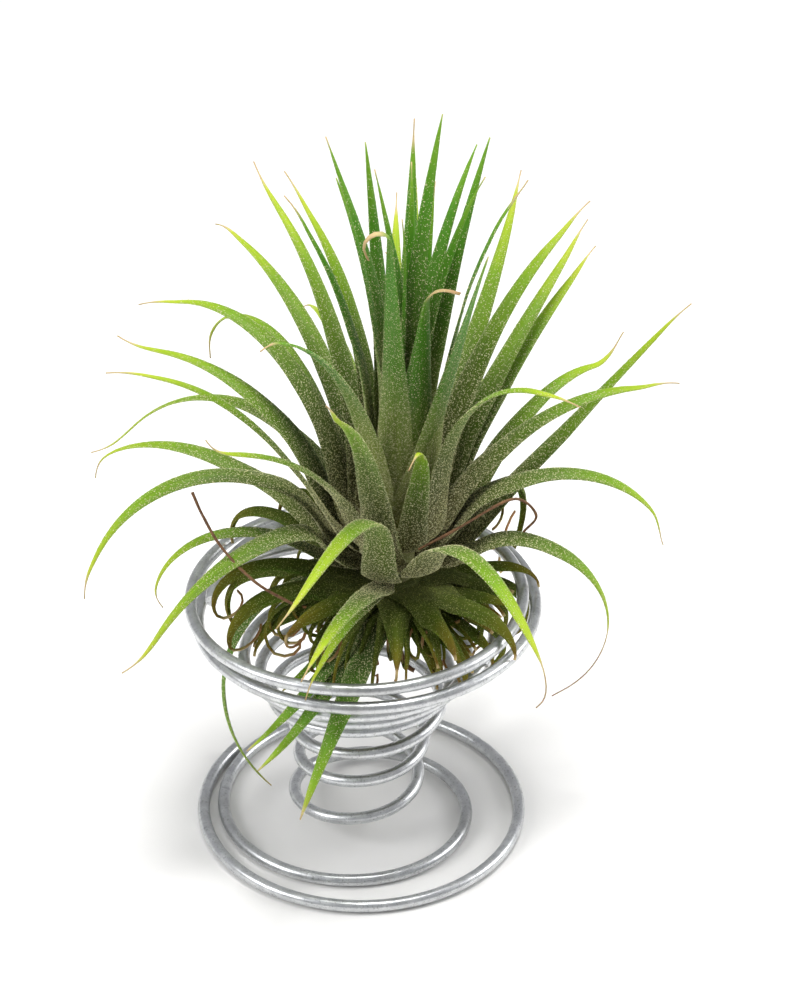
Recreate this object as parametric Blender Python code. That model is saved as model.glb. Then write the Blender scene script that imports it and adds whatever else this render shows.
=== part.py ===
# A small air plant resting in a spiral wire stand.
#
# Metres, +Z up. The origin is the middle of the object's box, at the height of the surface that it
# stands on. +X is the plant's right as seen from its front, and the front faces -Y.

import math

import bmesh
import bpy
import numpy as np
from mathutils import Matrix, Vector

MM = 0.001
SHARP_ANGLE = math.radians(50)

# Wire stand
WIRE_RADIUS = 1.08 * MM
WIRE_SIDES = 8
WIRE_STEPS_PER_TURN = 24
WIRE_SAMPLES = 900
WIRE_FLAT = WIRE_RADIUS * math.cos(math.pi / WIRE_SIDES)
FOOT = WIRE_FLAT / MM
# The wire's run, from the free end at the foot to the one inside the rim: turns, counted from the left
# side and rising to the front, with the radius and the height of the wire's middle there in mm.
WIRE_RUN = (
    (-0.10, 27.9, FOOT),
    (0.25, 27.1, FOOT),
    (0.75, 26.4, FOOT),
    (1.00, 24.2, FOOT),
    (1.25, 20.2, FOOT),
    (1.50, 17.6, FOOT),
    (1.75, 14.0, 1.8),
    (2.00, 11.9, 4.4),
    (2.50, 9.4, 8.4),
    (3.00, 11.0, 13.0),
    (3.50, 10.4, 16.2),
    (4.00, 11.6, 19.2),
    (4.25, 12.0, 21.4),
    (5.00, 15.4, 25.6),
    (5.25, 14.8, 28.2),
    (5.50, 14.8, 28.8),
    (6.00, 17.4, 30.0),
    (6.25, 17.0, 31.6),
    (7.00, 20.0, 33.6),
    (7.25, 20.4, 35.6),
    (7.75, 24.4, 38.6),
    (8.00, 27.4, 42.0),
    (8.25, 28.8, 43.5),
    (9.00, 28.7, 44.8),
    (9.25, 28.0, 46.5),
    (9.50, 26.6, 46.4),
    (10.00, 25.2, 44.2),
)

# Plant, in its own frame: the stem's middle line is Z, and 0 is where the sixth tier of leaves starts
PLANT_FOOT = Vector((5.5, 0.0, 55.0)) * MM
PLANT_TILT = math.radians(4)
STEM_RADIUS = 3.2 * MM
STEM_BOTTOM = -12.0 * MM
STEM_TOP = 9.0 * MM
# The stem narrows to a share of its radius over its lowest and highest part
STEM_FOOT_SHARE = 0.6
STEM_FOOT_HEIGHT = 2.0 * MM
STEM_HEAD_SHARE = 0.5
STEM_HEAD_HEIGHT = 3.0 * MM
SUNK_IN_STEM = 0.3
STEM_SIDES = 14
GAP = 0.3 * MM
BLADE_THICKNESS = 0.62 * MM
BLADE_STEPS = 10
PATH_STEPS = 120

# Living leaves grow in tiers, the innermost first. Each tier down starts lower on the stem, and runs
# further out from it before it turns up, so that the tiers nest.
TIER_TOP = 6.0 * MM
TIER_DROP = 1.0 * MM
TIER_RADIUS = 5.5 * MM
TIER_SPREAD = 1.15 * MM
SHEATH_SHARE_OF_WIDTH = 0.7
MOST_SHEATH_ANGLE = 0.5
SHEATH_SHARE = 0.35
SHEATH_FLARE = 0.4
LAST_CROWN_TIER = 1
HEEL_LEAN = 80

# One row for each leaf: name, tier, azimuth, sideways swing of its tip, lean from upright at the base,
# lean at the tip, length in mm, width in mm, how late it bends, and the turn of its dry tip.
# Azimuths run from the plant's right, round its back and left, to its front at 270.
SPREADING_LEAVES = (
    ("a01", 0, 170, -5, 0, 40, 59, 6.5, 1.4, -10),
    ("a02", 0, 227, 13, 4, 67, 64, 6.5, 1.1, 0),
    ("a04", 0, 95, 0, 2, 30, 64, 6.0, 1.2, 0),
    ("a05", 0, 334, 40, 1, 28, 66, 7.0, 2.6, 10),
    ("a07", 2, 44, 3, 13, 74, 61, 6.5, 1.6, -20),
    ("a08", 2, 133, 6, 2, 60, 61, 6.0, 1.5, -15),
    ("a09", 3, 13, 2, 25, 105, 51, 7.0, 1.3, -30),
    ("a10", 2, 321, -3, 0, 102, 54, 7.0, 1.8, -20),
    ("a11", 3, 89, 5, 10, 60, 62, 5.0, 1.2, 0),
    ("a03", 3, 284, -36, 6, 58, 35, 6.2, 1.7, 50),
    ("a12", 4, 58, 22, 15, 54, 63, 6.0, 0.8, 0),
    ("a13", 4, 130, -3, 12, 74, 65, 6.0, 1.4, -12),
    ("a14", 4, 225, 2, 17, 73, 56, 7.0, 0.7, -20),
    ("a16", 4, 0, 4, 30, 161, 51, 7.0, 1.1, 20),
    ("a17", 5, 148, 5, 19, 138, 63, 7.0, 1.7, -30),
    ("a18", 5, 199, -1, 30, 86, 62, 6.5, 2.1, -10),
    ("a19", 5, 95, -5, 22, 80, 60, 6.0, 1.2, 0),
    ("a06", 5, 254, -4, 23, 62, 69, 7.0, 1.6, -30),
    ("a20", 6, 51, 12, 24, 71, 63, 6.0, 0.8, -15),
    ("a21", 6, 125, -3, 18, 101, 68, 6.0, 0.9, -10),
    ("a22", 8, 36, 3, 33, 128, 52, 6.5, 2.1, -110),
    ("a23", 7, 137, 6, 24, 193, 60, 5.5, 2.4, -10),
    ("a24", 7, 187, 21, 27, 175, 65, 7.0, 0.9, -10),
    ("a26", 7, 92, 5, 28, 100, 58, 6.0, 1.2, 0),
    ("a27", 7, 51, 10, 30, 78, 62, 6.0, 0.9, -10),
    ("a15", 7, 289, 20, 31, 152, 65, 7.0, 1.1, 45),
    ("a28", 8, 152, 6, 25, 110, 58, 7.0, 1.0, -15),
    ("a29", 8, 205, 0, 31, 158, 54, 6.5, 0.4, -20),
    ("a31", 8, 108, 0, 35, 120, 58, 6.0, 1.1, 0),
    ("a30", 8, 257, -18, 13, 121, 65, 6.5, 0.8, -10),
    ("a25", 8, 350, 10, 48, 229, 59, 6.5, 0.8, 5),
    ("a32", 9, 21, 0, 40, 45, 61, 6.0, 1.2, 0),
    ("a33", 9, 133, 24, 40, 157, 76, 5.0, 0.7, -20),
    ("a34", 9, 164, -13, 52, 146, 57, 6.5, 1.3, 5),
    ("a35", 9, 195, 2, 56, 187, 46, 5.0, 1.5, 0),
    ("a36", 9, 256, -3, 60, 91, 56, 5.2, 1.3, 0),
    ("a37", 9, 72, -5, 48, 140, 54, 6.0, 1.1, 0),
    ("a38", 10, 251, -12, 80, 135, 33, 3.8, 1.5, 0),
)
CROWN_LEAVES = (
    ("c01", 70, -1, -10, 21, 76, 6.6, 1.7, 0),
    ("c02", 45, 0, 0, 19, 70, 6.6, 1.1, 0),
    ("c03", 58, -1, -8, 39, 69, 6.0, 1.5, 0),
    ("c04", 32, 0, -6, 25, 64, 6.6, 1.5, 7),
    ("c05", 80, 5, 0, 25, 58, 4.8, 1.1, -8),
    ("c06", 99, 1, -2, 22, 62, 5.4, 1.3, 5),
    ("c07", 200, 0, -5, 6, 58, 4.8, 1.3, 4),
    ("c08", 130, 0, 4, 17, 67, 6.6, 1.0, 0),
    ("c09", 148, 0, -6, 25, 64, 6.0, 1.6, -5),
    ("c10", 152, 0, -2, 33, 69, 7.2, 1.3, -7),
    ("c11", 175, 0, 0, 23, 66, 7.8, 1.3, 0),
    ("c12", 236, -40, 3, 7, 66, 9.4, 1.2, 200),
    ("c13", 290, 50, 3, -3, 52, 11.5, 1.2, 95),
    ("c14", 318, 20, 6, 14, 58, 9.0, 1.3, 0),
)
CROWN_START = (1.2 * MM, 4.0 * MM)
CROWN_HEEL = 5.0 * MM
CROWN_HEEL_LEAN = 60
CROWN_RADIUS = 3.0 * MM
CROWN_SHEATH = 1.3
CROWN_THICKNESS = 0.75 * MM
CROWN_STEPS = 9

DRY_TIP = 0.88
TIP_HALF_WIDTH = 0.4 * MM
CHANNEL_SHARE = 0.3
# A blade's width falls off by this power, and a blade opens from a wrap round the stem into a channel
# between these shares of the radius where its tier turns up
TAPER_POWER = 0.75
OPENS_FROM = 1.3
OPENS_BY = 1.8
WRAPS_ABOVE = 6

# Old leaves under the living ones, one row each: height on the stem in mm, then as for a living leaf
WITHERED_LEAVES = (
    (-5.6, 350, 25, 72, 274, 31, 5.5, 1.2),
    (-7.0, 15, -25, 88, 270, 33, 5.0, 2.0),
    (-8.0, 342, 20, 92, 285, 27, 5.0, 2.0),
    (-7.0, 50, 20, 64, 296, 57, 4.0, 2.0),
    (-6.5, 44, 12, 52, 200, 31, 3.5, 2.0),
    (-5.8, 208, 6, 74, 228, 35, 7.5, 2.6),
    (-5.8, 272, 0, 84, 140, 20, 7.5, 1.8),
    (-5.6, 226, -5, 78, 140, 22, 8.0, 2.0),
    (-5.6, 296, -8, 78, 225, 27, 8.0, 2.8),
    (-6.0, 318, 8, 72, 255, 31, 8.0, 2.6),
    (-5.8, 65, 10, 72, 250, 36, 5.5, 2.2),
    (-6.0, 98, -10, 74, 240, 36, 5.5, 2.2),
    (-5.8, 128, 12, 70, 250, 38, 6.0, 2.2),
    (-6.0, 152, -10, 70, 240, 38, 6.0, 2.4),
    (-8.8, 98, -10, 100, 215, 28, 5.5, 1.8),
    (-8.6, 145, 10, 98, 225, 31, 5.5, 2.0),
    (-8.8, 178, 0, 104, 195, 28, 5.5, 1.6),
    (-9.0, 298, 5, 104, 195, 18, 5.5, 1.8),
    (-9.0, 20, 0, 104, 215, 22, 5.0, 1.8),
    (-5.8, 302, 4, 90, 170, 20, 4.5, 2.2),
    (-7.6, 308, -8, 92, 215, 22, 6.0, 2.6),
    (-8.6, 318, 8, 100, 215, 20, 5.5, 2.2),
    (-8.8, 335, -8, 98, 220, 21, 5.5, 2.4),
    (-6.0, 339, -6, 80, 235, 28, 6.0, 2.6),
    (-6.0, 4, 8, 72, 255, 29, 5.0, 2.4),
    (-7.4, 34, -8, 80, 250, 32, 5.5, 2.2),
    (-8.8, 184, 10, 104, 228, 32, 5.0, 1.7),
    (-5.7, 188, 12, 72, 240, 36, 5.5, 2.4),
    (-8.1, 163, -4, 90, 250, 38, 5.0, 2.2),
    (-7.6, 88, 10, 86, 260, 34, 5.0, 2.2),
)
COLLAR_RADIUS = 5.0 * MM
COLLAR_TOP = -4.9 * MM
COLLAR_BOTTOM = -11.4 * MM
OLD_LEAF_STEPS = 7
OLD_LEAF_HEEL = 4.0 * MM
OLD_LEAF_RADIUS = 8.0 * MM

# Old leaves that are still green and hang out between two turns of the cone, in rows like these
HANGING_LEAVES = (
    ("h01", -10.2, 217, 1, 125, 104, 33, 4.5, 2.0),
    ("h02", -7.8, 235, -14, 118, 112, 34, 4.5, 1.1),
    ("h03", -9.0, 239, -12, 122, 110, 35, 5.0, 1.0),
    ("h04", -6.6, 254, -14, 109, 150, 42, 6.0, 2.0),
    ("h05", -7.0, 180, 14, 77, 223, 62, 4.0, 0.6),
)

# Dry roots under the stem: azimuth, lean at the base, lean at the tip, length in mm
ROOTS = (
    (20, 150, 120, 11),
    (75, 165, 200, 9),
    (130, 155, 130, 10),
    (185, 160, 190, 11),
    (240, 150, 200, 9),
    (300, 158, 125, 10),
)
ROOT_RADIUS = 0.45 * MM
ROOT_SIDES = 6
ROOT_STEPS = 6
ROOT_CROWN_RADIUS = 2.4 * MM
ROOT_CROWN_HEIGHT = 1.6 * MM
ROOT_CROWN_TOP_SHARE = 0.8
ROOT_START_SHARE = 0.6
ROOT_HEEL = 2.0 * MM
ROOT_SWING = 30


def clear_scene():
    for obj in list(bpy.data.objects):
        bpy.data.objects.remove(obj)


def material(name, colour, roughness, metallic=0.0):
    made = bpy.data.materials.new(name)
    made.use_nodes = True
    shader = made.node_tree.nodes["Principled BSDF"]
    shader.inputs["Base Color"].default_value = (*colour, 1.0)
    shader.inputs["Roughness"].default_value = roughness
    shader.inputs["Metallic"].default_value = metallic
    return made


def object_from(name, bm, finish):
    """A new object that holds the bmesh, with its faces turned outwards."""
    bmesh.ops.recalc_face_normals(bm, faces=bm.faces)
    mesh = bpy.data.meshes.new(name)
    bm.to_mesh(mesh)
    bm.free()
    mesh.materials.append(finish)
    mesh.shade_smooth()
    mesh.set_sharp_from_angle(angle=SHARP_ANGLE)
    made = bpy.data.objects.new(name, mesh)
    bpy.context.scene.collection.objects.link(made)
    return made


def loft(bm, rings):
    """Closed skin through rings of points, with each end filled."""
    rows = [[bm.verts.new(point) for point in ring] for ring in rings]
    count = len(rows[0])
    for row, following in zip(rows, rows[1:]):
        for i in range(count):
            j = (i + 1) % count
            bm.faces.new((row[i], row[j], following[j], following[i]))
    bm.faces.new(rows[0])
    bm.faces.new(reversed(rows[-1]))


def smooth_through(knots, at):
    """Value of a smooth curve through (place, value) knots that never swings past them."""
    x, y = np.array(knots).T
    step = np.diff(x)
    rise = np.diff(y) / step
    slope = np.zeros(len(x))
    slope[0] = rise[0]
    slope[-1] = rise[-1]
    for i in range(1, len(x) - 1):
        if rise[i - 1] * rise[i] > 0:
            a = 2 * step[i] + step[i - 1]
            b = step[i] + 2 * step[i - 1]
            slope[i] = (a + b) / (a / rise[i - 1] + b / rise[i])
    i = int(np.clip(np.searchsorted(x, at, side="right") - 1, 0, len(x) - 2))
    t = (at - x[i]) / step[i]
    ease = t * t * (3 - 2 * t)
    return (
        y[i] * (1 - ease)
        + y[i + 1] * ease
        + step[i] * slope[i] * t * (1 - t) ** 2
        - step[i] * slope[i + 1] * t * t * (1 - t)
    )


def wire_point(turns):
    radius = smooth_through([(k[0], k[1]) for k in WIRE_RUN], turns) * MM
    height = smooth_through([(k[0], k[2]) for k in WIRE_RUN], turns) * MM
    angle = math.pi + 2 * math.pi * turns
    return Vector((radius * math.cos(angle), radius * math.sin(angle), height))


def wire_stand(finish):
    """One wire with a flat under side, so that the foot's turns rest along their length."""
    first, last = WIRE_RUN[0][0], WIRE_RUN[-1][0]
    count = round((last - first) * WIRE_STEPS_PER_TURN)
    path = [wire_point(first + (last - first) * i / count) for i in range(count + 1)]
    rings = []
    for i, point in enumerate(path):
        along = (path[min(i + 1, count)] - path[max(i - 1, 0)]).normalized()
        side = along.cross(Vector((0, 0, 1))).normalized()
        up = side.cross(along)
        ring = []
        for k in range(WIRE_SIDES):
            angle = 2 * math.pi * (k + 0.5) / WIRE_SIDES
            offset = side * math.cos(angle) + up * math.sin(angle)
            ring.append(point + WIRE_RADIUS * offset)
        rings.append(ring)
    bm = bmesh.new()
    loft(bm, rings)
    return object_from("wire_stand", bm, finish)


def leaf_midrib(start, heel, heel_lean, azimuth, swing, base_lean, tip_lean, length, bend, tip_turn):
    """Points along a leaf's middle, with its direction, its share of the length from 0 to 1 and the way
    that it heads round the stem at each.

    The leaf leaves the stem outwards, turns up at the end of its heel, and then bends over."""
    run = np.linspace(0, length, PATH_STEPS)
    along = run / length
    heeled = np.clip(run / heel, 0, 1)
    heeled = heeled * heeled * (3 - 2 * heeled)
    past_heel = np.clip((run - heel) / (length - heel), 0, 1)
    lean = base_lean + (tip_lean - base_lean) * past_heel**bend
    lean = heel_lean * (1 - heeled) + lean * heeled
    lean = np.radians(lean + tip_turn * np.clip((along - DRY_TIP) / (1 - DRY_TIP), 0, 1))
    turned = np.radians(azimuth + swing * along**2)
    ahead = np.stack(
        (np.sin(lean) * np.cos(turned), np.sin(lean) * np.sin(turned), np.cos(lean)), axis=1
    )
    points = np.zeros((PATH_STEPS, 3))
    points[1:] = np.cumsum((ahead[1:] + ahead[:-1]) / 2, axis=0) * (run[1] - run[0])
    outward = np.array((math.cos(math.radians(azimuth)), math.sin(math.radians(azimuth)), 0))
    points += outward * start[0] + np.array((0, 0, start[1]))
    return points, ahead, along, turned


def leaf_rings(path, tier_radius, width, sheath_angle, thickness=BLADE_THICKNESS, steps=BLADE_STEPS):
    """Six-sided sections of a channelled blade: three points over its upper face, three under it.

    The sheath angle is half of what the leaf's base takes up round the stem, in radians."""
    points, ahead, along, heading = path
    rings = []
    radius = 0
    for step in range(steps + 1):
        at = round((step / steps) ** 1.2 * (len(points) - 1))
        point, forward, share = Vector(points[at]), Vector(ahead[at]), float(along[at])
        outward = Vector((math.cos(heading[at]), math.sin(heading[at]), 0))
        radius = max(radius, point.dot(outward))
        side = Vector((-outward.y, outward.x, 0))
        side = (side - forward * side.dot(forward)).normalized()
        upper = side.cross(forward)
        flare = 1 + SHEATH_FLARE * max(1 - share / SHEATH_SHARE, 0) ** 2
        tapered = width / 2 * (1 - share) ** TAPER_POWER * flare
        sector = radius * sheath_angle
        half = max(min(tapered, sector), TIP_HALF_WIDTH)
        inward = half * half / (2 * radius)
        opened = (radius / tier_radius - OPENS_FROM) / (OPENS_BY - OPENS_FROM)
        free = CHANNEL_SHARE * half * min(max(opened, 0), 1)
        lift = upper * max(free - inward * max(forward.z, 0), 0)
        lift -= outward * inward * min(max(forward.z * WRAPS_ABOVE, 0), 1)
        half_edge = upper * BLADE_THICKNESS / 2
        half_middle = upper * max(thickness * (1.2 - share), BLADE_THICKNESS) / 2
        out = side * half
        rings.append(
            (
                point + out + lift + half_edge,
                point + half_middle,
                point - out + lift + half_edge,
                point - out + lift - half_edge,
                point - half_middle,
                point + out + lift - half_edge,
            )
        )
    return rings


def placed(rings):
    """The rings, turned from the plant's frame to where the plant rests in its stand."""
    lean = Matrix.Rotation(PLANT_TILT, 3, "Y")
    return [[lean @ point + PLANT_FOOT for point in ring] for ring in rings]


def blade(rings):
    bm = bmesh.new()
    loft(bm, placed(rings))
    return bm


def keep_outer_skin(mesh):
    """Keeps the body with the most faces, without the scraps and sealed hollows that fusing leaves."""
    bm = bmesh.new()
    bm.from_mesh(mesh)
    waiting = set(bm.faces)
    skins = []
    while waiting:
        edge_of_search = [waiting.pop()]
        skin = []
        while edge_of_search:
            face = edge_of_search.pop()
            skin.append(face)
            for edge in face.edges:
                if len(edge.link_faces) != 2:
                    continue
                for other in edge.link_faces:
                    if other in waiting:
                        waiting.remove(other)
                        edge_of_search.append(other)
        skins.append(skin)
    skins.sort(key=len)
    scraps = [face for skin in skins[:-1] for face in skin]
    bmesh.ops.delete(bm, geom=scraps, context="FACES")
    bm.to_mesh(mesh)
    bm.free()


def fuse(name, shapes, finish):
    """One closed body from overlapping ones."""
    group = bpy.data.collections.new(name + "_shapes")
    bpy.context.scene.collection.children.link(group)
    made = object_from(name, shapes[0], finish)
    for i, shape in enumerate(shapes[1:]):
        piece = object_from(f"{name}_shape_{i}", shape, finish)
        bpy.context.scene.collection.objects.unlink(piece)
        group.objects.link(piece)
    union = made.modifiers.new("union", "BOOLEAN")
    union.operation = "UNION"
    union.operand_type = "COLLECTION"
    union.collection = group
    union.solver = "EXACT"
    union.use_self = True
    bpy.context.view_layer.update()
    joined = bpy.data.meshes.new_from_object(made.evaluated_get(bpy.context.evaluated_depsgraph_get()))
    made.modifiers.remove(union)
    made.data = joined
    for piece in list(group.objects):
        bpy.data.objects.remove(piece)
    bpy.data.collections.remove(group)
    keep_outer_skin(joined)
    joined.shade_smooth()
    joined.set_sharp_from_angle(angle=SHARP_ANGLE)
    return made


def turned(profile, sides):
    """Rings of a turned shape, from its (radius, height) profile."""
    rings = []
    for radius, height in profile:
        corners = (2 * math.pi * k / sides for k in range(sides))
        rings.append([Vector((radius * math.cos(a), radius * math.sin(a), height)) for a in corners])
    return rings


def tier_leaf(row):
    """What a living leaf's sections need: its path, the radius where its tier turns up, its width and
    its sheath's angle."""
    name, tier, azimuth, swing, base_lean, tip_lean, length, width, bend, tip_turn = row
    radius = TIER_RADIUS + TIER_SPREAD * tier
    start = (STEM_RADIUS + GAP + BLADE_THICKNESS / 2, TIER_TOP - TIER_DROP * tier)
    heeled = np.linspace(0, 1, PATH_STEPS)
    heeled = heeled * heeled * (3 - 2 * heeled)
    outward = np.sin(np.radians(HEEL_LEAN + (base_lean - HEEL_LEAN) * heeled)).mean()
    heel = (radius - start[0]) / outward
    path = leaf_midrib(
        start, heel, HEEL_LEAN, azimuth, swing, base_lean, tip_lean, length * MM, bend, tip_turn
    )
    sheath = min(SHEATH_SHARE_OF_WIDTH * width * MM / radius, MOST_SHEATH_ANGLE)
    return path, radius, width * MM, sheath


def spreading_leaves(finish):
    for row in SPREADING_LEAVES:
        if row[1] > LAST_CROWN_TIER:
            object_from("leaf_" + row[0], blade(leaf_rings(*tier_leaf(row))), finish)


def crown(finish):
    """The stem, with the upright leaves and the roots that grow from it."""
    stem = turned(
        (
            (STEM_FOOT_SHARE * STEM_RADIUS, STEM_BOTTOM),
            (STEM_RADIUS, STEM_BOTTOM + STEM_FOOT_HEIGHT),
            (STEM_RADIUS, STEM_TOP - STEM_HEAD_HEIGHT),
            (STEM_HEAD_SHARE * STEM_RADIUS, STEM_TOP),
        ),
        STEM_SIDES,
    )
    shapes = [blade(stem)]
    for name, azimuth, swing, base_lean, tip_lean, length, width, bend, tip_turn in CROWN_LEAVES:
        path = leaf_midrib(
            CROWN_START,
            CROWN_HEEL,
            CROWN_HEEL_LEAN,
            azimuth,
            swing,
            base_lean,
            tip_lean,
            length * MM,
            bend,
            tip_turn,
        )
        shapes.append(
            blade(leaf_rings(path, CROWN_RADIUS, width * MM, CROWN_SHEATH, CROWN_THICKNESS, CROWN_STEPS))
        )
    for row in SPREADING_LEAVES:
        if row[1] <= LAST_CROWN_TIER:
            leaf = tier_leaf(row)
            leaf[0][0][0] *= (SUNK_IN_STEM, SUNK_IN_STEM, 1)
            shapes.append(blade(leaf_rings(*leaf)))
    return fuse("crown", shapes, finish)


def up_to_wire(path):
    """The part of a path before it comes to the wire, with its own shares of its length."""
    lean = np.array(Matrix.Rotation(PLANT_TILT, 3, "Y"))
    placed_points = path[0] @ lean.T + np.array(PLANT_FOOT)
    first, last = WIRE_RUN[0][0], WIRE_RUN[-1][0]
    wire = np.array([wire_point(turns) for turns in np.linspace(first, last, WIRE_SAMPLES)])
    away = np.linalg.norm(placed_points[:, None] - wire[None], axis=2).min(axis=1)
    near = np.nonzero(away < WIRE_RADIUS + TIP_HALF_WIDTH + GAP)[0]
    count = near[0] if len(near) else len(away)
    points, ahead, along, heading = (values[:count] for values in path)
    return points, ahead, along / along[-1], heading


def old_leaf(row, start_radius):
    height, azimuth, swing, base_lean, tip_lean, length, width, bend = row
    path = leaf_midrib(
        (start_radius, height * MM),
        OLD_LEAF_HEEL,
        base_lean,
        azimuth,
        swing,
        base_lean,
        tip_lean,
        length * MM,
        bend,
        0,
    )
    sheath = SHEATH_SHARE_OF_WIDTH * width * MM / OLD_LEAF_RADIUS
    return leaf_rings(up_to_wire(path), OLD_LEAF_RADIUS, width * MM, sheath, steps=OLD_LEAF_STEPS)


def withered_leaves(finish):
    """The skirt of old leaves, on the ring of their bases round the stem."""
    inner = STEM_RADIUS + GAP
    collar = bmesh.new()
    profile = (
        (inner, COLLAR_TOP),
        (COLLAR_RADIUS, COLLAR_TOP),
        (COLLAR_RADIUS, COLLAR_BOTTOM),
        (inner, COLLAR_BOTTOM),
    )
    rows = [[collar.verts.new(point) for point in ring] for ring in placed(turned(profile, STEM_SIDES))]
    for row, following in zip(rows, rows[1:] + rows[:1]):
        for i in range(STEM_SIDES):
            j = (i + 1) % STEM_SIDES
            collar.faces.new((row[i], row[j], following[j], following[i]))
    leaves = [blade(old_leaf(row, inner + BLADE_THICKNESS)) for row in WITHERED_LEAVES]
    return fuse("withered_leaves", [collar, *leaves], finish)


def hanging_leaves(finish):
    for name, *row in HANGING_LEAVES:
        object_from("hanging_leaf_" + name, blade(old_leaf(row, COLLAR_RADIUS + GAP)), finish)


def dry_roots(finish):
    top = STEM_BOTTOM - GAP
    bottom = top - ROOT_CROWN_HEIGHT
    profile = ((ROOT_CROWN_TOP_SHARE * ROOT_CROWN_RADIUS, top), (ROOT_CROWN_RADIUS, bottom))
    shapes = [blade(turned(profile, STEM_SIDES))]
    for azimuth, base_lean, tip_lean, length in ROOTS:
        start = (ROOT_CROWN_RADIUS * ROOT_START_SHARE, top - ROOT_CROWN_HEIGHT / 2)
        points, ahead, _, _ = leaf_midrib(
            start, ROOT_HEEL, base_lean, azimuth, ROOT_SWING, base_lean, tip_lean, length * MM, 1, 0
        )
        rings = []
        for at in np.linspace(0, PATH_STEPS - 1, ROOT_STEPS + 1).round().astype(int):
            forward = Vector(ahead[at])
            side = forward.orthogonal().normalized()
            turn = Matrix.Rotation(2 * math.pi / ROOT_SIDES, 3, forward)
            ring = []
            for _ in range(ROOT_SIDES):
                ring.append(Vector(points[at]) + side * ROOT_RADIUS)
                side = turn @ side
            rings.append(ring)
        shapes.append(blade(rings))
    return fuse("dry_roots", shapes, finish)


def centre_on_origin():
    """Moves all meshes so that the middle of their box, at the surface below, is the origin."""
    meshes = [obj.data for obj in bpy.data.objects]
    corners = np.array([vertex.co for mesh in meshes for vertex in mesh.vertices])
    low, high = corners.min(axis=0), corners.max(axis=0)
    shift = Matrix.Translation((-(low[0] + high[0]) / 2, -(low[1] + high[1]) / 2, -low[2]))
    for mesh in meshes:
        mesh.transform(shift)


def main():
    clear_scene()
    galvanised = material("galvanised_wire", (0.42, 0.45, 0.48), 0.35, 1.0)
    green = material("living_leaf", (0.16, 0.30, 0.06), 0.6)
    olive = material("withered_leaf", (0.16, 0.15, 0.05), 0.8)
    brown = material("dry_root", (0.14, 0.08, 0.04), 0.85)
    wire_stand(galvanised)
    spreading_leaves(green)
    crown(green)
    withered_leaves(olive)
    hanging_leaves(green)
    dry_roots(brown)
    centre_on_origin()


main()
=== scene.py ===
# %% [markdown]
# # A small air plant in a spiral wire stand
# The plant is a rosette of stiff, channelled leaves that are covered with silvery scales. It has no pot
# and no soil: a skirt of old, curled leaves rests in a cone of galvanised wire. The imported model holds
# every piece as a plain solid. This lesson puts a finer piece in the place of each one, grown by the
# same rule as the solid, and then gives it its scales, colour and finish.

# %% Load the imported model
import math

import bmesh
import bpy
import numpy as np
from mathutils import Matrix, Vector


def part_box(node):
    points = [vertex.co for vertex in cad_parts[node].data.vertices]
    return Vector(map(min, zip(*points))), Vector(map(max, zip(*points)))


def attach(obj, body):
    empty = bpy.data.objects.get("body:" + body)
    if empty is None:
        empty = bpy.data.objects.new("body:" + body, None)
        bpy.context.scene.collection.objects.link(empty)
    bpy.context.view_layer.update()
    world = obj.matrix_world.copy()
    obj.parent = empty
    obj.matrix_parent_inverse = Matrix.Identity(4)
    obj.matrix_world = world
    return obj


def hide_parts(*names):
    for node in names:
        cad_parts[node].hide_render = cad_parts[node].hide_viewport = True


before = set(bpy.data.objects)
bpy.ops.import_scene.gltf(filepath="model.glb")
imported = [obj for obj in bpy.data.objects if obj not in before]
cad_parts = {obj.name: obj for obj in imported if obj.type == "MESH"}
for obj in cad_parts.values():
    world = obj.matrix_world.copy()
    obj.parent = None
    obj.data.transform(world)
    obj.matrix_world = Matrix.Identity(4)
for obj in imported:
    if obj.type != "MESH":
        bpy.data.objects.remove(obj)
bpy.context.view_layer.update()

MM = 0.001
print("pieces in the model:", len(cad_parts))

# %% [markdown]
# ## The wire's run
# The stand is one length of wire. It starts with two flat turns that make the foot, rises in tight turns
# to a narrow neck, and opens into a cone with a double rim. A table of turns, radii and heights says
# where its middle line runs, and a curve that never swings past its knots joins them, so that a turn
# which rests on the table stays flat.

# %% The wire's run, from the end at the foot to the end inside the rim
WIRE_RADIUS = 1.04 * MM
FOOT_HEIGHT = 1.0
# Turns, counted from the left side and rising to the front, then radius and height in mm
WIRE_RUN = (
    (-0.10, 27.9, FOOT_HEIGHT), (0.25, 27.1, FOOT_HEIGHT), (0.75, 26.4, FOOT_HEIGHT),
    (1.00, 24.2, FOOT_HEIGHT), (1.25, 20.2, FOOT_HEIGHT), (1.50, 17.6, FOOT_HEIGHT),
    (1.75, 14.0, 1.8), (2.00, 11.9, 4.4), (2.50, 9.4, 8.4),
    (3.00, 11.0, 13.0), (3.50, 10.4, 16.2), (4.00, 11.6, 19.2),
    (4.25, 12.0, 21.4), (5.00, 15.4, 25.6), (5.25, 14.8, 28.2),
    (5.50, 14.8, 28.8), (6.00, 17.4, 30.0), (6.25, 17.0, 31.6),
    (7.00, 20.0, 33.6), (7.25, 20.4, 35.6), (7.75, 24.4, 38.6),
    (8.00, 27.4, 42.0), (8.25, 28.8, 43.5), (9.00, 28.7, 44.8),
    (9.25, 28.0, 46.5), (9.50, 26.6, 46.4), (10.00, 25.2, 44.2),
)


def ease(share):
    """A share from 0 to 1, made to start and end softly."""
    return share * share * (3 - 2 * share)


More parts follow.
